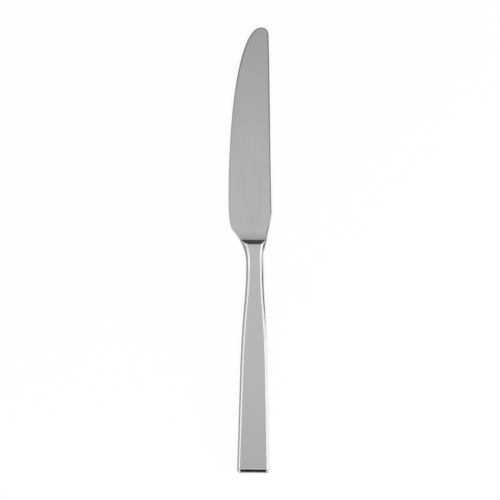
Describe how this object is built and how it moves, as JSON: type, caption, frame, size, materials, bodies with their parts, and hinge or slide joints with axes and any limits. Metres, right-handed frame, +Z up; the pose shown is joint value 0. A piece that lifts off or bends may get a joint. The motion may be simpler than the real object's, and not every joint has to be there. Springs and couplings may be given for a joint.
{
  "type": "table knife",
  "caption": "Stainless table knife with a rounded tip, curved belly, sloped bolster and a flat faceted hollow handle that flares to a bevelled butt, for cutting food at the table.",
  "frame": {"origin": "middle of the knife's box on its underside, the plane that it lies on", "axes": "+X towards the spine, +Y along the handle towards the tip, +Z up from the surface that the knife lies on"},
  "size_m": [0.0234, 0.24, 0.007],
  "materials": {
    "blade_steel": "polished stainless steel with a faint lengthwise grain",
    "handle_steel": "mirror-polished stainless steel with fine use marks",
    "solder": "ground and polished flush with the steel",
    "cement": "matt, granular filled resin"
  },
  "bodies": {
    "root": {"blade": "blade_steel", "front_half_shell": "handle_steel", "back_half_shell": "handle_steel", "seam_solder": "solder", "tang_cement": "cement"}
  },
  "joints": []
}
